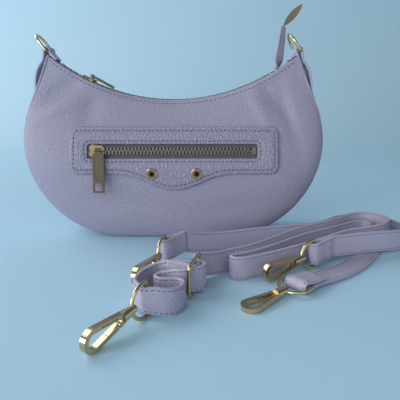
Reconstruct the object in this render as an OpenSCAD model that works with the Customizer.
// Crescent crossbody bag: two puffed leather panels on a U-shaped gusset, a curved
// zip along the top edge, a zipped front pocket with its facing, leather tabs with
// D-rings at the tips, and two detachable straps that end in swivel hooks.
// Millimetres, +Z up, front towards -Y, origin under the middle of the base.

/* [Bag body] */
// Width of the bag at its widest place
bag_w = 262; // [236:1:284]
// Height of the lowest place of the top edge
saddle_z = 122; // [108:1:134]
// Height of the two tips of the top edge
tip_z = 160; // [150:1:172]
// Distance between the two tips
tip_span = 217; // [200:1:226]
// Radius of the two lower corners
corner_r = 87; // [78:1:92]
// Depth of the gusset at the base
gusset_depth = 40; // [32:1:48]
// Depth of the bag at its tips and along the zip
top_depth = 14; // [13.4:0.1:17]
// How far each puffed panel stands out past the gusset
puff = 13; // [8:0.5:15]
// Inset from the seam over which a panel rounds out
puff_reach = 36; // [26:1:46]
// Distance below the top edge over which a panel swells to its full depth
swell_reach = 64; // [52:1:80]
// Thickness of the leather
leather_t = 1.6; // [1:0.1:2]
// Thickness of the lining cloth
lining_t = 0.6; // [0.4:0.1:0.9]

/* [Zips] */
// Thickness of the zip tape
tape_t = 0.7; // [0.5:0.1:0.9]
// Width of the closed chain
chain_w = 6; // [5.4:0.1:6.6]
// Height of a tooth
tooth_h = 2.8; // [2.4:0.1:3.2]
// Distance from tooth to tooth in one row
tooth_pitch = 3; // [2.6:0.1:4]
// Length of a slider
slider_l = 12; // [10:0.5:14]
// Plate thickness of a slider
slider_plate = 1.3; // [1:0.1:1.6]
// Where the top slider stands, in degrees along the arc, left of the middle
top_slider_angle = -25.5; // [-27:0.5:-20]

/* [Front pocket] */
// Width of the pocket facing
facing_w = 178; // [160:1:190]
// Height of the lower edge of the facing at its ends
facing_low_z = 60.5; // [57:0.5:64]
// Height of the upper edge of the facing
facing_high_z = 100; // [97:0.5:103]
// How far the lower edge drops in the middle
facing_drop = 14; // [8:0.5:18]
// Width of the zip window
window_w = 145; // [120:1:150]
// Height of the zip window
window_h = 12; // [11:0.5:13]
// Height of the middle of the zip window
window_z = 79.5; // [78:0.5:81]
// Thickness of the facing
facing_t = 1.6; // [1.2:0.1:2]
// Distance from stud to stud
stud_span = 38.5; // [30:0.5:50]
// Diameter of a stud
stud_d = 10; // [8:0.5:12]
// Width of a zip puller
puller_w = 9.5; // [8:0.5:11]
// Length of the pocket zip puller
puller_l = 36; // [30:0.5:40]
// Thickness of a zip puller
puller_t = 2; // [1.6:0.1:2.4]

/* [Tabs and rings] */
// Width of a side tab
tab_w = 14; // [12:0.5:16]
// Inner width of a side ring
side_ring_w = 17; // [16.5:0.5:20]
// Wire diameter of a side ring
side_ring_wire = 2.5; // [2:0.1:2.8]
// Height of the zip tail above the tip of the bag
tail_rise = 24; // [18:1:30]

/* [Straps and hooks] */
// Width of the straps
strap_w = 17; // [14:0.5:18]
// Thickness of the straps
strap_t = 2.6; // [2:0.1:2.6]
// Radius of a strap ring to the middle of its wire
ring_r = 10.5; // [10:0.1:11.5]
// Wire diameter of a strap ring
ring_wire = 2.4; // [2:0.1:2.6]
// Length of a snap hook's eye, from its collar to its tip
hook_l = 32; // [29:0.5:36]
// Width of a snap hook at its tip
hook_w = 13.4; // [12.4:0.2:14.4]
// Thickness of a snap hook
hook_t = 3.6; // [3.2:0.1:4]
// Width of the metal of a snap hook
hook_bar = 2.7; // [2.4:0.1:3]
// Length of the strap adjuster
adjuster_l = 28; // [27:0.5:31]
// Wire diameter of the strap adjuster
adjuster_wire = 2.4; // [2:0.1:2.6]

/* [Fits] */
// Clearance between pieces that move past each other
gap = 0.35; // [0.3:0.05:0.45]
// Radial clearance of a pin or post in its bore
fit = 0.06; // [0.03:0.01:0.1]

/* [Hidden] */

leather = [0.66, 0.62, 0.74];
cloth = [0.80, 0.78, 0.80];
tape_grey = [0.60, 0.58, 0.58];
gold = [0.80, 0.70, 0.48];
dark_metal = [0.22, 0.16, 0.14];

// One length that every cut runs past the faces it opens
over = 2;

// Outline of the bag, seen from the front
// The corners are no rounder than the tips allow: a tip stays outside the corner's circle
tip_inset = (bag_w - tip_span) / 2;
tip_limit_share = 0.97;
round_limit = tip_inset + tip_z - sqrt(2 * tip_inset * tip_z);
bend_r = min(corner_r, round_limit * tip_limit_share);
corner_x = bag_w / 2 - bend_r;
tip_x = tip_span / 2;
arc_r = (tip_x * tip_x + pow(tip_z - saddle_z, 2)) / (2 * (tip_z - saddle_z));
arc_z = saddle_z + arc_r;
tip_angle = asin(tip_x / arc_r);
tip_reach = norm([tip_x - corner_x, tip_z - bend_r]);
side_l = sqrt(tip_reach * tip_reach - bend_r * bend_r);
side_angle = atan2(tip_z - bend_r, tip_x - corner_x) - acos(bend_r / tip_reach);
turn_l = bend_r * (90 + side_angle) * PI / 180;
half_l = corner_x + turn_l + side_l;

// A place on the U-shaped seam, by its length from the middle of the base
function seam(l, inset = 0) =
    let(a = abs(l), r = bend_r - inset,
        turned = min(max(a - corner_x, 0), turn_l),
        angle = turned / bend_r * 180 / PI - 90,
        rest = max(a - corner_x - turn_l, 0),
        x = min(a, corner_x) + r * cos(angle) - rest * sin(side_angle),
        z = bend_r + r * sin(angle) + rest * cos(side_angle))
    [sign(l) * x, z];
function top_arc(angle, inset = 0) =
    [(arc_r + inset) * sin(angle), arc_z - (arc_r + inset) * cos(angle)];

// Depth of a panel: how far a place is from the seam and from the top edge
function seam_inset(x, z) =
    let(dx = abs(x) - corner_x, dz = z - bend_r, angle = atan2(dz, dx),
        from_side = bend_r - dx * cos(side_angle) - dz * sin(side_angle))
    angle > side_angle || dx <= 0 ? min(from_side, z) : bend_r - norm([dx, dz]);
function edge_z(x) = arc_z - sqrt(arc_r * arc_r - pow(min(abs(x), tip_x), 2));
function swell(x, z) =
    let(low = saddle_z - swell_reach, top = edge_z(x),
        up = max(z - low, 0) / (top - low),
        below = saddle_z - z + (top - saddle_z) * pow(up, 3),
        s = 1 - min(max(below, 0) / swell_reach, 1))
    1 - s * s;
function rounding(d) = let(s = 1 - min(max(d, 0) / puff_reach, 1)) sqrt(1 - s * s);
function half_gusset(x, z) =
    top_depth / 2 + (gusset_depth - top_depth) / 2 * swell(x, z);
function half_depth(x, z) =
    half_gusset(x, z) + puff * swell(x, z) * rounding(seam_inset(x, z));

// Meshes of the panels: spokes run from the top edge to the seam
spokes = 44;
rows = 9;
lining_rows = 5;
function spoke_place(i, j, n, top_inset, seam_inset) =
    let(t = 2 * i / spokes - 1, share = 1 - pow(1 - j / n, 1.7),
        a = top_arc(t * (tip_angle - top_inset / arc_r * 90), top_inset),
        b = seam(t * (half_l - 3 * top_inset), seam_inset))
    a + (b - a) * share;
function skin(n, insets, back_off, side) =
    [for (i = [0:spokes], j = [0:n])
        let(p = spoke_place(i, j, n, insets[0], insets[1]))
        [p.x, side * (half_depth(p.x, p.y) - back_off), p.y]];
function both(i, j, k, l) = [[i, j, k], [i, k, l]];
function quads(n, first, flip) =
    [for (i = [0:spokes - 1], j = [0:n - 1])
        let(a = first + i * (n + 1) + j, b = a + 1, c = b + n + 1, d = a + n + 1)
        each (flip ? both(a, d, c, b) : both(a, b, c, d))];
function rim(n) =
    concat([for (i = [0:spokes]) i * (n + 1)], [for (j = [1:n - 1]) spokes * (n + 1) + j],
        [for (i = [spokes:-1:0]) i * (n + 1) + n], [for (j = [n - 1:-1:1]) j]);
module shell(n, insets, back_off, t, side) {
    count = (spokes + 1) * (n + 1);
    loop = rim(n);
    m = len(loop);
    wall = [for (k = [0:m - 1]) let(a = loop[k], b = loop[(k + 1) % m])
        each (side > 0 ? both(b, a, a + count, b + count) : both(a, b, b + count, a + count))];
    polyhedron(concat(skin(n, insets, back_off, side), skin(n, insets, back_off + t, side)),
        concat(quads(n, 0, side > 0), quads(n, count, side < 0), wall), convexity = 6);
}

// A flat outline drawn in x and z is stood up, facing the front
module stand(y_front, t) {
    translate([0, y_front + t, 0]) rotate([90, 0, 0]) linear_extrude(t) children();
}
// A flat outline drawn in y and z is drawn out along x
module along_x(from, to) {
    translate([from, 0, 0]) rotate([90, 0, 90]) linear_extrude(to - from) children();
}
// A strip of thickness t about a line of points, drawn as an outline
function unit(v) = v / norm(v);
function strip(p, t) =
    let(n = len(p) - 1,
        d = [for (i = [0:n]) unit(p[min(i + 1, n)] - p[max(i - 1, 0)])],
        side = [for (v = d) [-v.y, v.x] * t / 2])
    concat([for (i = [0:n]) p[i] + side[i]], [for (i = [n:-1:0]) p[i] - side[i]]);

// The window's cut in the panel and the facing
module window_block(y_front, t) {
    stand(y_front, t) translate([-window_w / 2, window_z - window_h / 2])
        square([window_w, window_h]);
}

module front_panel() {
    color(leather) difference() {
        shell(rows, [0, 0], 0, leather_t, -1);
        window_block(-gusset_depth - puff, gusset_depth);
    }
}
module back_panel() {
    color(leather) shell(rows, [0, 0], 0, leather_t, 1);
}
seam_steps = 60;
function seam_line(inset) =
    [for (i = [0:seam_steps]) seam((2 * i / seam_steps - 1) * half_l, inset)];
module gusset() {
    side = [for (i = [0:seam_steps / 2]) seam(i / seam_steps * 2 * half_l)];
    depth = [for (p = side) [half_gusset(p.x, p.y) - leather_t, p.y]];
    inner = seam_line(leather_t);
    color(leather) intersection() {
        stand(-gusset_depth, 2 * gusset_depth)
            polygon(concat(seam_line(0), [for (i = [seam_steps:-1:0]) inner[i]]));
        along_x(-bag_w, bag_w)
            polygon(concat(depth, [for (i = [len(depth) - 1:-1:0]) [-depth[i].x, depth[i].y]]));
    }
}
// Room between the panel and the lining for the pocket's cloth and the slider
lining_room = 3.4;
lining_off = leather_t + lining_room + lining_t;
lining_hem = 5;
module lining() {
    insets = [lining_hem, leather_t + gap];
    color(cloth) for (side = [-1, 1]) shell(lining_rows, insets, lining_off, lining_t, side);
}

// Zip chains. One tooth of a zip that lies along x, its outer side up
tooth_w = tooth_pitch * 0.4;
head_reach = tooth_pitch * 0.12;
tape_edge = chain_w / 12;
spread = chain_w / 5;
module tooth(side) {
    mirror([0, side > 0 ? 0 : 1, 0]) clamp(tooth_w, head_reach);
}
// A bar across the tape's edge whose two jaws hold the tape
module clamp(l, reach) {
    jaw_h = (tooth_h - tape_t) / 2 - fit;
    for (low = [tape_t / 2 + fit, -tooth_h / 2]) translate([-l / 2, tape_edge, low])
        cube([l, chain_w / 2 - tape_edge, jaw_h]);
    translate([-l / 2, -reach, -tooth_h / 2]) cube([l, tape_edge + reach, tooth_h]);
}

// The top chain lies on a cylinder about the axis of the top edge
chain_r = arc_r + tooth_h / 5;
chain_left = tip_angle - 5;
chain_right = tip_angle - 9;
arc_pitch = tooth_pitch / chain_r * 180 / PI;
slider_half = slider_l / 2 / chain_r * 180 / PI;
module on_arc(angle) {
    translate([0, 0, arc_z]) rotate([0, -angle, 0]) translate([0, 0, -chain_r])
        children();
}
module band_on_arc(from, to) {
    translate([0, 0, arc_z]) rotate([90, 0, 0]) rotate([0, 0, from - 90])
        rotate_extrude(angle = to - from, $fn = 180) children();
}
module top_tape(side) {
    inner = top_depth / 2 - leather_t;
    shut = top_slider_angle + arc_pitch / 2;
    color(tape_grey) mirror([0, side > 0 ? 0 : 1, 0]) difference() {
        band_on_arc(-tip_angle + 1, tip_angle - 1) mirror([0, 1, 0])
            translate([chain_r - tape_t / 2, tape_edge]) square([tape_t, inner - tape_edge]);
        band_on_arc(-tip_angle, shut) mirror([0, 1, 0])
            translate([chain_r - over, -over]) square([2 * over, tape_edge + spread + over]);
    }
}
module top_zip_tape_front() top_tape(-1);
module top_zip_tape_back() top_tape(1);
function spread_at(along) = spread * min(max(-along, 0), 1);
module top_teeth(side) {
    shift = side > 0 ? 0.5 : 0;
    color(gold) for (k = [ceil(-chain_left / arc_pitch):floor(chain_right / arc_pitch) - 1]) {
        angle = (k + shift) * arc_pitch;
        on_arc(angle) translate([0, side * spread_at((angle - top_slider_angle) / slider_half), 0])
            tooth(side);
    }
}
module top_zip_teeth_front() top_teeth(-1);
module top_zip_teeth_back() top_teeth(1);
stop_l = tooth_pitch;
module stop_bar(apart) {
    for (side = [0, 1]) mirror([0, side, 0]) translate([0, apart, 0]) clamp(stop_l, 0);
}
stop_step = (stop_l + tooth_pitch / 2) / chain_r * 180 / PI;
module top_zip_stops() {
    color(gold) {
        on_arc(chain_right + stop_step / 2) stop_bar(0);
        on_arc(-chain_left - stop_step / 2) stop_bar(spread);
    }
}

// A slider lies along x, with its wedge at the -x end, where the zip is open
plate_z = tooth_h / 2 + gap;
flange_in = chain_w / 2 + gap;
flange_t = chain_w * 0.15;
slider_wide = 2 * (flange_in + flange_t);
mouth_wide = slider_wide + 2 * spread;
wedge_w = spread / 2;
bail_r = slider_plate / 2;
knuckle_r = bail_r + gap + puller_t * 0.35;
bail_z = plate_z + slider_plate + knuckle_r + gap;
bail_l = slider_l * 0.6;
bail_x = slider_l * 0.1;
module slider_outline() {
    nose = slider_l / 5;
    l = slider_l / 2;
    w = slider_wide / 2;
    m = mouth_wide / 2;
    polygon([[l - nose, -w], [l, nose - w], [l, w - nose], [l - nose, w], [0, w],
        [nose / 2 - l, m], [-l, m - nose / 2], [-l, nose / 2 - m], [nose / 2 - l, -m], [0, -w]]);
}
module slider_body(bail_turn) {
    lip = plate_z - tape_t / 2 - gap;
    l = slider_l / 2;
    m = mouth_wide / 2 - flange_t;
    for (side = [-1, 1]) mirror([0, 0, side > 0 ? 0 : 1]) {
        translate([0, 0, plate_z]) linear_extrude(slider_plate) slider_outline();
        translate([0, 0, plate_z - lip]) linear_extrude(lip) difference() {
            slider_outline();
            polygon([[-l - over, -m], [-l, -m], [0, -flange_in], [l + over, -flange_in],
                [l + over, flange_in], [0, flange_in], [-l, m], [-l - over, m]]);
        }
    }
    translate([-l, -wedge_w / 2, -plate_z]) cube([slider_l / 8, wedge_w, 2 * plate_z]);
    translate([bail_x, 0, 0]) rotate([0, 0, bail_turn]) {
        post = 2 * bail_r;
        for (end = [-1, 1])
            translate([end * bail_l / 2 - bail_r, -bail_r, plate_z + slider_plate])
                cube([post, post, bail_z - plate_z - slider_plate + bail_r]);
        translate([-bail_l / 2, 0, bail_z]) rotate([0, 90, 0])
            cylinder(r = bail_r, h = bail_l, $fn = 24);
    }
}

// A puller turns on its knuckle, whose bore lies along y, and reaches along -x
module puller(l, w) {
    knuckle_l = bail_l - 2 * bail_r - 2 * gap;
    rim_w = w * 0.17;
    hole_w = w - 2 * rim_w;
    neck = knuckle_r + puller_t / 2;
    recess = puller_t / 4;
    difference() {
        union() {
            translate([0, knuckle_l / 2, 0]) rotate([90, 0, 0])
                cylinder(r = knuckle_r, h = knuckle_l, $fn = 32);
            translate([-neck - over, -knuckle_l / 2, -puller_t / 2])
                cube([neck + over - bail_r - gap / 2, knuckle_l, puller_t]);
            translate([-l, -w / 2, -puller_t / 2]) cube([l - neck, w, puller_t]);
        }
        translate([0, knuckle_l / 2 + over, 0]) rotate([90, 0, 0])
            cylinder(r = bail_r + gap, h = knuckle_l + 2 * over, $fn = 32);
        translate([rim_w - l, -hole_w / 2, -puller_t]) cube([hole_w, hole_w, 2 * puller_t]);
        translate([w - l, -hole_w / 2, puller_t / 2 - recess])
            cube([l - neck - w - rim_w, hole_w, recess + over]);
    }
}
module top_zip_slider() {
    color(gold) on_arc(top_slider_angle) slider_body(90);
}
top_puller_l = puller_l * 0.58;
top_puller_drop = 3;
module top_zip_puller() {
    color(gold) on_arc(top_slider_angle) translate([bail_x, 0, bail_z])
        rotate([0, top_puller_drop, 0]) rotate([0, 0, 180]) puller(top_puller_l, puller_w * 0.65);
}

// The free end of the zip stands up, covered in leather, and ends in a metal leaf
tail_t = 2 * leather_t;
tail_w = top_depth - 2 * leather_t - gap;
tail_foot = top_arc(chain_right + 1.5 * stop_step, -tail_t * 0.36);
tail_in = 13;
tail_head = [tip_x - tail_in, tip_z + tail_rise];
function tail_line(s) =
    let(knee = [tail_head.x - (tail_head.x - tail_foot.x) / 4, (tail_foot.y * 2 + tail_head.y) / 3])
    tail_foot * pow(1 - s, 2) + knee * 2 * s * (1 - s) + tail_head * s * s;
tail_steps = 12;
tail_turn = 62;
turned_share = 0.4;
module zip_tail() {
    points = [for (i = [0:tail_steps])
        let(s = i / tail_steps, p = tail_line(s),
            d = unit(tail_line(min(s + 0.02, 1)) - tail_line(max(s - 0.02, 0))),
            turn = tail_turn * sin(90 * min(s / turned_share, 1)), narrow = 1 - 0.5 * s,
            across = [d.y * sin(turn), cos(turn), -d.x * sin(turn)],
            out = [d.y * cos(turn), -sin(turn), -d.x * cos(turn)])
        for (c = [[-1, -1], [1, -1], [1, 1], [-1, 1]])
            [p.x, 0, p.y] + across * c[0] * tail_w * narrow / 2 + out * c[1] * tail_t / 2];
    color(leather) polyhedron(points, sweep_faces(tail_steps + 1, 4), convexity = 4);
}
function sweep_faces(rings, n) =
    concat([[for (k = [n - 1:-1:0]) k]],
        [for (i = [0:rings - 2], k = [0:n - 1])
            let(a = i * n + k, b = i * n + (k + 1) % n)
            each [[a, b + n, a + n], [a, b, b + n]]],
        [[for (k = [0:n - 1]) (rings - 1) * n + k]]);
leaf_l = tail_rise;
leaf_w = leaf_l / 4;
leaf_lean = 41;
module zip_tail_tip() {
    r = (leaf_l * leaf_l / 4 + leaf_w * leaf_w / 4) / leaf_w;
    color(dark_metal) translate([tail_head.x, 0, tail_head.y]) rotate([0, leaf_lean, 0])
        translate([0, tail_t / 2, leaf_l / 2 + gap / 2]) rotate([90, 0, 0]) linear_extrude(tail_t)
            intersection() {
                translate([r - leaf_w / 2, 0]) circle(r, $fn = 90);
                translate([leaf_w / 2 - r, 0]) circle(r, $fn = 90);
            }
}

// Side tabs: a leather strip sewn to the gusset runs over the ring's bar and back down
tab_t = leather_t * 1.2;
ring_bar = [tip_x + 0.5 * leather_t, tip_z + side_ring_wire / 2 + gap + tab_t + gap];
tab_sewn = 8;
tab_free = 33;
tab_bulge = 4;
module tab() {
    r = side_ring_wire / 2 + gap + tab_t / 2;
    line = concat([seam(half_l - tab_free - tab_sewn, -tab_t / 2)],
        [for (s = [1:-1/6:1/6]) seam(half_l - tab_free * s, -tab_t / 2 - tab_bulge * sin(180 * s))],
        [for (a = [-15:20:205]) ring_bar + r * [cos(a), sin(a)]],
        [top_arc(tip_angle - 1.2, -tab_t), top_arc(tip_angle - 2.6, -tab_t / 2 - gap / 2)]);
    stand(-tab_w / 2, tab_w) polygon(strip(line, tab_t));
}
module tab_left() {
    color(leather) mirror([1, 0, 0]) tab();
}
module tab_right() {
    color(leather) tab();
}
side_ring_rise = side_ring_w * 0.94;
module side_ring(lean) {
    a = (side_ring_w + side_ring_wire) / 2;
    leg = side_ring_rise - a;
    r = side_ring_wire / 2;
    translate([0, 0, ring_bar.y]) rotate([0, lean, 0]) {
        translate([0, a, 0]) rotate([90, 0, 0]) cylinder(r = r, h = 2 * a, $fn = 32);
        for (side = [-1, 1]) translate([0, side * a, 0]) {
            sphere(r, $fn = 32);
            cylinder(r = r, h = leg, $fn = 32);
        }
        translate([0, 0, leg]) rotate([90, 0, 90]) rotate_extrude(angle = 180, $fn = 64)
            translate([a, 0]) circle(r, $fn = 32);
    }
}
module d_ring_left() {
    color(gold) translate([-ring_bar.x, 0, 0]) side_ring(-35);
}
module d_ring_right() {
    color(gold) translate([ring_bar.x, 0, 0]) side_ring(-33);
}

// The pocket: a facing over the panel, a zip in its window, a cloth pouch behind
facing_x = 1.5;
facing_lift = tape_t + 2 * gap;
function facing_depth(z) = max([for (k = [0:4]) half_depth(k * facing_w / 8, z)]);
function facing_back(z) = facing_depth(z) + facing_lift;
function front_of_facing(z) = facing_back(z) + facing_t;
pocket_y = half_depth(0, window_z) + tape_t / 2 + gap;
lean_step = 1;
pocket_lean = atan((half_depth(0, window_z - lean_step) - half_depth(0, window_z + lean_step))
    / 2 / lean_step);
facing_corner = 7;
facing_steps = 16;
module facing_outline(inset) {
    l = facing_w / 2 - inset;
    low = facing_low_z + inset;
    high = facing_high_z - inset;
    c = facing_corner - inset / 2;
    flat = l * 0.54;
    lower = [for (i = [-facing_steps:facing_steps])
        let(t = i / facing_steps) [flat * t, low - facing_drop * (1 + cos(180 * t)) / 2]];
    ends = [for (corner = [[1, -1, -90], [1, 1, 0], [-1, 1, 90], [-1, -1, 180]], a = [0:15:90])
        [corner[0] * (l - c), (corner[1] > 0 ? high - c : low + c)]
            + c * [cos(corner[2] + a), sin(corner[2] + a)]];
    translate([facing_x, 0]) polygon(concat(lower, ends));
}
facing_levels = [for (i = [0:14]) facing_low_z - facing_drop - over
    + i / 14 * (facing_high_z - facing_low_z + facing_drop + 2 * over)];
module facing_layer(from, t) {
    outer = [for (z = facing_levels) [-facing_depth(z) - from - t, z]];
    inner = [for (z = facing_levels) [-facing_depth(z) - from, z]];
    n = len(facing_levels) - 1;
    along_x(-facing_w, facing_w) polygon(concat(outer, [for (i = [n:-1:0]) inner[i]]));
}
hem_w = 8;
module pocket_facing() {
    depth = gusset_depth + puff;
    color(leather) difference() {
        union() {
            intersection() {
                facing_layer(facing_lift, facing_t);
                stand(-depth, depth) facing_outline(0);
            }
            intersection() {
                facing_layer(gap / 2, facing_lift);
                stand(-depth, depth) difference() {
                    facing_outline(0);
                    facing_outline(hem_w);
                }
            }
        }
        window_block(-depth, depth);
    }
}
module on_pocket(x) {
    translate([x, -pocket_y, window_z]) rotate([90 - pocket_lean, 0, 0]) children();
}
tape_lap = 1.6;
pocket_tape_w = window_h / 2 + tape_lap;
pocket_end = window_w / 2 - tooth_pitch / 2 - stop_l;
slider_x = -window_w / 2 + slider_l / 2 + tooth_pitch;
module pocket_tape(side) {
    l = window_w / 2 + hem_w / 3;
    open = slider_x + tooth_pitch / 2;
    apart = tape_edge + spread;
    color(tape_grey) on_pocket(0) mirror([0, side > 0 ? 0 : 1, 0])
        translate([0, 0, -tape_t / 2]) linear_extrude(tape_t)
            polygon([[-l, apart], [open, apart], [open, tape_edge], [l, tape_edge],
                [l, pocket_tape_w], [-l, pocket_tape_w]]);
}
module pocket_zip_tape_upper() pocket_tape(1);
module pocket_zip_tape_lower() pocket_tape(-1);
module pocket_teeth(side) {
    n = floor(pocket_end / tooth_pitch);
    color(gold) for (k = [-n:n - 1]) {
        x = (k + (side > 0 ? 0.5 : 0)) * tooth_pitch;
        on_pocket(x) translate([0, side * spread_at((x - slider_x) / slider_l * 2), 0]) tooth(side);
    }
}
module pocket_zip_teeth_upper() pocket_teeth(1);
module pocket_zip_teeth_lower() pocket_teeth(-1);
module pocket_zip_stops() {
    color(gold) {
        on_pocket(pocket_end + stop_l / 2) stop_bar(0);
        on_pocket(-pocket_end - stop_l / 2) stop_bar(spread);
    }
}
module pocket_zip_slider() {
    color(gold) on_pocket(slider_x) slider_body(0);
}
stud_h = 1.2;
bail_place = [pocket_y + bail_z * cos(pocket_lean), window_z + bail_z * sin(pocket_lean)];
puller_clear = front_of_facing(facing_low_z) + stud_h + 2 * gap + puller_t / 2;
puller_lean = atan((puller_clear - bail_place[0]) / (bail_place[1] - facing_low_z));
module pocket_zip_puller() {
    color(gold) translate([slider_x + bail_x, -bail_place[0], bail_place[1]])
        rotate([90 - puller_lean, 0, 0]) rotate([0, 0, 90]) puller(puller_l, puller_w);
}
pouch_wall = lining_t;
pouch_low = facing_low_z - facing_drop;
pouch_room = 1.3;
module pouch_layer(from, t, low, high) {
    zs = [for (i = [0:10]) low + (high - low) * i / 10];
    along_x(-window_w / 2 - hem_w, window_w / 2 + hem_w) polygon(concat(
        [for (z = zs) [-half_depth(0, z) + from, z]],
        [for (i = [10:-1:0]) [-half_depth(0, zs[i]) + from + t, zs[i]]]));
}
module pocket_bag() {
    high = window_z + window_h / 2 + hem_w / 2;
    first = leather_t + 2 * gap;
    full = 2 * pouch_wall + pouch_room;
    color(cloth) difference() {
        pouch_layer(first, full, pouch_low, high);
        intersection() {
            pouch_layer(first + pouch_wall, pouch_room, pouch_low + pouch_wall, high - pouch_wall);
            along_x(-window_w / 2 - hem_w + pouch_wall, window_w / 2 + hem_w - pouch_wall)
                translate([-gusset_depth - puff, 0]) square([gusset_depth + puff, tip_z]);
        }
        intersection() {
            pouch_layer(first - over, over + pouch_wall + pouch_room / 2, pouch_low, high);
            window_block(-gusset_depth - puff, gusset_depth + puff);
        }
    }
}
module on_facing(x, z) {
    lean = atan((front_of_facing(z - lean_step) - front_of_facing(z + lean_step)) / 2 / lean_step);
    translate([facing_x + x, -front_of_facing(z), z]) rotate([90 - lean, 0, 0]) children();
}
cap_r = stud_d * 0.34;
module stud_rims() {
    color(gold) for (side = [-1, 1]) on_facing(side * stud_span / 2, facing_low_z)
        rotate_extrude($fn = 48) polygon([[cap_r, 0], [stud_d / 2, 0], [stud_d / 2, stud_h / 2],
            [stud_d / 2 - stud_h / 2, stud_h], [cap_r + stud_h / 4, stud_h], [cap_r, stud_h * 0.7]]);
}
module stud_caps() {
    color(dark_metal) for (side = [-1, 1]) on_facing(side * stud_span / 2, facing_low_z)
        cylinder(r = cap_r, h = stud_h * 0.45, $fn = 48);
}

// Straps. A route is a row of [x, y, z, roll]: roll 0 stands on edge, 90 lies flat
function between(a, b, c, d, t) =
    (2 * b + (c - a) * t + (2 * a - 5 * b + 4 * c - d) * t * t
        + (3 * b - a - 3 * c + d) * t * t * t) / 2;
function smooth(p, k) =
    let(n = len(p) - 1, q = concat([2 * p[0] - p[1]], p, [2 * p[n] - p[n - 1]]))
    concat([for (i = [1:n], j = [0:k - 1]) between(q[i - 1], q[i], q[i + 1], q[i + 2], j / k)],
        [p[n]]);
function place_of(row) = [row[0], row[1], row[2]];
module band(route, k) {
    line = smooth(route, k);
    n = len(line) - 1;
    points = [for (i = [0:n])
        let(along = unit(place_of(line[min(i + 1, n)]) - place_of(line[max(i - 1, 0)])),
            flat = unit([along.y, -along.x, 0]),
            up = cross(flat, along), roll = line[i][3],
            wide = up * cos(roll) + flat * sin(roll),
            thick = up * sin(roll) - flat * cos(roll))
        for (c = [[-1, -1], [1, -1], [1, 1], [-1, 1]])
            place_of(line[i]) + wide * c[0] * strap_w / 2 + thick * c[1] * strap_t / 2];
    polyhedron(points, sweep_faces(n + 1, 4), convexity = 10);
}
bar_r = max(ring_wire, adjuster_wire) / 2;
fold_r = bar_r + gap + strap_t / 2;
floor_gap = 0.1;
edge_room = gap * 2;
adjuster_high = strap_w + 2 * edge_room + adjuster_wire;
// A place beside the adjuster: p along it, n to its left
adjuster_at = [20, -136, (adjuster_high + adjuster_wire) / 2 + floor_gap];
adjuster_heading = 75;
function beside(p, n) =
    let(c = cos(adjuster_heading), s = sin(adjuster_heading))
    concat(adjuster_at + [p * c - n * s, p * s + n * c, 0], [0]);
// The way from a ring's bar to its hook, which points down by the drop
function ahead(heading, drop) =
    [cos(heading) * cos(drop), sin(heading) * cos(drop), -sin(drop)];
function behind(bar, heading, drop, l) = concat(bar - l * ahead(heading, drop), [0]);
function fold_round(at, heading, drop, angles) =
    let(e = ahead(heading, drop), f = [-sin(heading), cos(heading), 0], bar = cross(e, f))
    [for (a = angles)
        let(along = f * cos(a) - e * sin(a), flat = unit([along.y, -along.x, 0]))
        concat(at + (fold_r + gap / 4) * (e * cos(a) + f * sin(a)),
            [atan2(bar * flat, bar * cross(flat, along))])];
ring_leg = ring_r * 0.3;
hook_drop = 7;
ring_z = ring_r + ring_wire / 2 + floor_gap + ring_leg * sin(hook_drop);
bar_a = [-6.4, -170, ring_z];
bar_b = [-2, -88, ring_z];
bar_c = [108, -97, ring_z];
bar_d = [88, -134, fold_r + strap_t / 2 + floor_gap];
strap_b_heading = -140;
strap_c_heading = -152;
strap_d_heading = -142;
ring_a_heading = -123;
ring_b_heading = -112;
ring_c_heading = -147;
ring_d_heading = -142;
ring_d_drop = 3.2;
sewn_l = 18;
inner_run = [
    [-3.4, -130.8, 10.2, 0], [-9.2, -134.2, 9, 0], [-13.4, -140.5, 8.6, 0],
    [-15.6, -148.5, 8.6, 0], [-15.4, -156.5, 9.2, 0], [-13.4, -163, 10.6, 0],
    [-11.1, -167.8, 11.6, 2]];
curl_run = [
    [-2.6, -172.9, 11.9, 0], [2.6, -171.9, 10.6, 0], [7.8, -169, 9.4, 0], [11.6, -164.4, 8.6, 0],
    [13.6, -159, 8.6, 0], [12.6, -154.3, 8.6, 0], [8.4, -152, 8.6, 0], [3, -152.2, 8.6, 0],
    [-1.6, -151.6, 8.6, 0], [-4.2, -148.3, 8.6, 0], [-2.5, -144.9, 8.8, 0], [2, -143.7, 9.4, 0],
    [6.6, -144.3, 10.4, 0], [10.4, -145.9, 11.4, 0]];
weave = [[-11.4, 3.3], [-8, 0], [-4.4, -4.5], [0, -6.5], [4.8, -4.4], [8.8, 0.8], [13, 3.3],
    [18.5, 2.6]];
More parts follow.
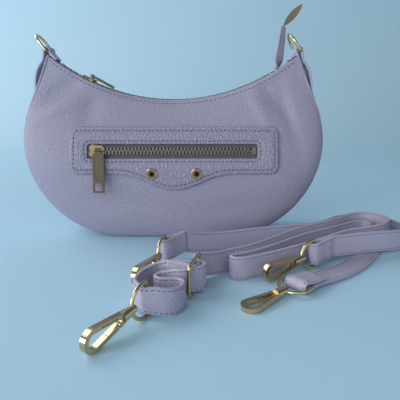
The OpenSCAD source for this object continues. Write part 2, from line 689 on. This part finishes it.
outer_run = [
    [33.5, -110.6, 9.4, -6], [44, -103.6, 8.9, -12], [60, -94.6, 8.9, -18], [75, -82, 8.9, -18],
    [90, -68, 9.2, -16], [105, -55, 10, -12], [120, -44.6, 10.6, -8], [135, -36, 11.2, -4],
    [148, -27.5, 12, 0], [160, -19, 13, 0], [171, -15.5, 13.6, 0], [181, -19, 14, 0],
    [186.5, -30, 14.6, 0], [185, -43, 14.8, 0], [177, -53, 14.2, 0], [164, -58.5, 13, 0],
    [148, -63, 12.2, 0], [133, -69, 10.6, 0], [118, -78, 9.2, 0], [104, -87, 8.7, 0],
    [92, -95, 8.6, 0], [77, -105, 8.6, 0], [62, -113.5, 8.6, 0], [54, -117.5, 8.6, 0],
    [47.5, -117.8, 8.6, 0], [45.2, -113.8, 8.6, 0], [49.6, -110.2, 8.6, 0], [62, -103.4, 8.6, 0],
    [77, -92, 8.6, 0], [92, -78.6, 8.6, 0], [107, -65.4, 8.6, 0], [122, -54.6, 8.6, 0],
    [137, -45, 8.6, 0], [150, -35.5, 8.6, 0], [161, -28.5, 8.6, 0], [170, -26.5, 8.6, 4],
    [176, -31, 8, 20], [175.5, -39, 6, 52], [171, -47, 3, 80], [167, -54, 1.5, 90],
    [162.5, -62, 1.5, 90], [155, -74, 1.5, 90], [146, -86, 1.5, 90], [136, -97, 1.5, 90],
    [124, -108, 1.5, 90], [111, -117, 2.1, 90], [100.2, -124.4, 2.9, 90]];
long_route = concat([beside(0, sewn_l * 0.7), beside(0, sewn_l)], inner_run,
    fold_round(bar_a, ring_a_heading, hook_drop, [-30, 5, 40]), curl_run,
    [for (q = weave) beside(q.x, q.y)], outer_run);
short_run = [
    [20, -72.4, 12, 0], [32, -66, 10, 0], [50, -57.5, 8.6, 0], [68, -50, 8.6, 0],
    [87, -43.5, 8.6, 0], [105, -38.8, 8.6, 0], [120, -35, 8.6, 0], [131, -29.5, 8.6, 0],
    [141, -20.5, 8.6, 0], [151, -11.5, 8.6, 0], [163, -6.5, 8.6, 0], [178, -6, 8.6, 0],
    [191, -14, 8.6, 0], [198.5, -29, 8.6, 0], [199.5, -45, 9.2, 0], [192.5, -59, 10.6, 0],
    [178, -68.5, 12.4, 0], [158, -76, 13.6, 0], [140, -82.5, 14, 0]];
short_route = concat(
    [for (l = [sewn_l * 0.7, sewn_l]) behind(bar_b, strap_b_heading, hook_drop, l)], short_run,
    [for (l = [sewn_l, sewn_l * 0.7]) behind(bar_c, strap_c_heading, hook_drop, l)]);
module sewn_end(at, heading, roll, drop) {
    r = fold_r + strap_t / 2;
    hole_r = bar_r + gap;
    long = sewn_l;
    wide = strap_w + gap;
    half = strap_t * 1.08;
    on_bar(at, heading, roll, drop, 0) translate([0, wide / 2, 0]) rotate([90, 0, 0])
        linear_extrude(wide) difference() {
            polygon(concat([[-long, -half], [-long / 2, -half]],
                [for (a = [-110:20:110]) r * [cos(a), sin(a)]],
                [[-long / 2, half], [-long, half]]));
            polygon(concat([for (a = [-120:20:120]) hole_r * [cos(a), sin(a)]],
                [[-long / 3, 0]]));
        }
}
module on_bar(at, heading, roll, drop, swing) {
    translate(at) rotate([0, 0, heading]) rotate([0, drop, 0]) rotate([0, 0, swing])
        rotate([roll, 0, 0]) children();
}
module long_strap() {
    color(leather) {
        band(long_route, 4);
        sewn_end(adjuster_at, adjuster_heading - 90, 90, 0);
        sewn_end(bar_d, strap_d_heading, 0, 0);
    }
}
module short_strap() {
    color(leather) {
        band(short_route, 4);
        sewn_end(bar_b, strap_b_heading, 90, hook_drop);
        sewn_end(bar_c, strap_c_heading, 90, hook_drop);
    }
}
module strap_adjuster() {
    r = adjuster_wire / 2;
    l = adjuster_l / 2 - r;
    h = adjuster_high / 2;
    c = adjuster_wire;
    color(gold) translate(adjuster_at)
        rotate([0, 0, adjuster_heading]) rotate([90, 0, 0]) {
            for (x = [-l, 0, l]) translate([x, 0, 0]) rotate([90, 0, 0])
                translate([0, 0, x == 0 ? -h : c - h])
                    cylinder(r = r, h = x == 0 ? 2 * h : 2 * h - 2 * c, $fn = 24);
            for (y = [-h, h]) translate([c - l, y, 0]) rotate([0, 90, 0])
                cylinder(r = r, h = 2 * l - 2 * c, $fn = 24);
            for (corner = [[1, 1, 0], [-1, 1, 90], [-1, -1, 180], [1, -1, 270]])
                translate([corner[0] * (l - c), corner[1] * (h - c), 0]) rotate([0, 0, corner[2]])
                    rotate_extrude(angle = 90, $fn = 48) translate([c, 0]) circle(r, $fn = 24);
        }
}

// A strap ring: its bar lies along y, its round side reaches along x to a boss
ring_apex = ring_leg + ring_r;
post_r = ring_wire * 0.42;
boss_r = ring_wire * 1.1;
boss_low = ring_apex - ring_wire / 2;
boss_l = ring_wire * 1.9;
module strap_ring() {
    r = ring_wire / 2;
    color(gold) difference() {
        union() {
            translate([0, ring_r, 0]) rotate([90, 0, 0]) cylinder(r = r, h = 2 * ring_r, $fn = 24);
            for (side = [-1, 1]) translate([0, side * ring_r, 0]) {
                sphere(r, $fn = 24);
                rotate([0, 90, 0]) cylinder(r = r, h = ring_leg, $fn = 24);
            }
            translate([ring_leg, 0, 0]) rotate([0, 0, -90]) rotate_extrude(angle = 180, $fn = 64)
                translate([ring_r, 0]) circle(r, $fn = 24);
            translate([boss_low, 0, 0]) rotate([0, 90, 0]) cylinder(r = boss_r, h = boss_l, $fn = 32);
        }
        translate([boss_low - over, 0, 0]) rotate([0, 90, 0])
            cylinder(r = post_r + fit, h = boss_l + 2 * over, $fn = 24);
    }
}

// A swivel snap hook: its post turns in the ring's boss, its eye is closed by a gate
collar_u = boss_low + boss_l + gap;
small_r = hook_bar * 1.2;
small_u = collar_u + hook_bar * 1.6;
big_r = hook_w / 2;
big_u = collar_u + hook_l - big_r;
tangent = acos((small_r - big_r) / (big_u - small_u));
function drop_line(r1, u1, r2, u2) =
    let(t = acos((r1 - r2) / (u2 - u1)), n = 12)
    concat([for (i = [-n:n]) [u2, 0] + r2 * [cos(t * i / n), sin(t * i / n)]],
        [for (i = [1:n - 1]) let(a = t + (360 - 2 * t) * i / n) [u1, 0] + r1 * [cos(a), sin(a)]]);
arm_l = sqrt(pow(big_u - small_u, 2) - pow(big_r - small_r, 2));
pin_s = arm_l * 0.13;
nose_s = arm_l * 0.62;
pin_r = hook_bar * 0.22;
cheek_r = hook_bar * 0.62;
gate_r = hook_bar / 2;
gate_thin = hook_t * 0.36;
module flat_bar(t) {
    translate([0, 0, -t / 2]) linear_extrude(t) children();
}
// The arm on the gate's side: x runs along it, y = 0 on its outer face
module on_arm() {
    translate([small_u, 0, 0]) rotate([0, 0, -tangent]) translate([small_r, 0, 0])
        rotate([0, 0, 90]) children();
}
module on_pin() {
    on_arm() translate([pin_s, gate_r, 0]) children();
}
module snap_hook() {
    groove_l = arm_l * 0.56;
    groove_w = hook_bar * 0.3;
    color(gold) difference() {
        union() {
            difference() {
                flat_bar(hook_t) difference() {
                    polygon(drop_line(small_r, small_u, big_r, big_u));
                    polygon(drop_line(hook_bar * 0.4, small_u + hook_bar, big_r - hook_bar, big_u));
                }
                on_arm() translate([pin_s, -over, -hook_t])
                    cube([nose_s - pin_s, hook_bar * 1.12 + over, 2 * hook_t]);
            }
            on_pin() flat_bar(hook_t) circle(cheek_r, $fn = 32);
            translate([collar_u, 0, 0]) rotate([0, 90, 0])
                cylinder(r = small_r, h = small_u - collar_u, $fn = 32);
            translate([boss_low - gap - hook_bar / 2, 0, 0]) rotate([0, 90, 0])
                cylinder(r = post_r, h = collar_u - boss_low + gap + hook_bar, $fn = 24);
            translate([boss_low - gap - hook_bar / 2, 0, 0]) rotate([0, 90, 0])
                cylinder(r = boss_r * 0.75, h = hook_bar / 2, $fn = 24);
        }
        on_pin() flat_bar(gate_thin + 2 * gap) circle(gate_r + gap, $fn = 32);
        on_pin() flat_bar(gate_thin + 2 * gap) translate([0, -gate_r - over])
            square([cheek_r + over, 2 * (gate_r + over)]);
        on_pin() flat_bar(2 * hook_t) circle(pin_r, $fn = 24);
        mirror([0, 1, 0]) on_arm() for (face = [-1, 1])
            translate([arm_l * 0.2, hook_bar / 2 - groove_w / 2, face * hook_t / 2 - gap])
                cube([groove_l, groove_w, 2 * gap]);
    }
}
module snap_gate() {
    start = cheek_r + gap;
    end = nose_s - pin_s - gap;
    color(gold) on_pin() difference() {
        union() {
            flat_bar(gate_thin) circle(gate_r, $fn = 32);
            translate([0, -gate_r, -gate_thin / 2]) cube([end, 2 * gate_r, gate_thin]);
            translate([start, -gate_r, -hook_t / 2]) cube([end - start, 2 * gate_r, hook_t]);
        }
        flat_bar(2 * hook_t) circle(pin_r + fit, $fn = 24);
    }
}
module hook_pin() {
    color(gold) on_pin() flat_bar(hook_t) circle(pin_r, $fn = 24);
}
module at_a() {
    on_bar(bar_a, ring_a_heading, 90, hook_drop, 0) children();
}
module at_b() {
    on_bar(bar_b, strap_b_heading, 90, hook_drop, ring_b_heading - strap_b_heading) children();
}
module at_c() {
    on_bar(bar_c, strap_c_heading, 90, hook_drop, ring_c_heading - strap_c_heading) children();
}
module at_d() {
    on_bar(bar_d, ring_d_heading, 0, ring_d_drop, 0) children();
}
module ring_a() at_a() strap_ring();
module hook_a() at_a() snap_hook();
module gate_a() at_a() snap_gate();
module gate_pin_a() at_a() hook_pin();
module ring_b() at_b() strap_ring();
module hook_b() at_b() snap_hook();
module gate_b() at_b() snap_gate();
module gate_pin_b() at_b() hook_pin();
module ring_c() at_c() strap_ring();
module hook_c() at_c() snap_hook();
module gate_c() at_c() snap_gate();
module gate_pin_c() at_c() hook_pin();
module ring_d() at_d() strap_ring();
module hook_d() at_d() snap_hook();
module gate_d() at_d() snap_gate();
module gate_pin_d() at_d() hook_pin();

front_panel();
back_panel();
gusset();
lining();
top_zip_tape_front();
top_zip_tape_back();
top_zip_teeth_front();
top_zip_teeth_back();
top_zip_stops();
top_zip_slider();
top_zip_puller();
zip_tail();
zip_tail_tip();
tab_left();
tab_right();
d_ring_left();
d_ring_right();
pocket_facing();
pocket_zip_tape_upper();
pocket_zip_tape_lower();
pocket_zip_teeth_upper();
pocket_zip_teeth_lower();
pocket_zip_stops();
pocket_zip_slider();
pocket_zip_puller();
pocket_bag();
stud_rims();
stud_caps();
long_strap();
strap_adjuster();
short_strap();
ring_a();
ring_b();
ring_c();
ring_d();
hook_a();
hook_b();
hook_c();
hook_d();
gate_a();
gate_b();
gate_c();
gate_d();
gate_pin_a();
gate_pin_b();
gate_pin_c();
gate_pin_d();
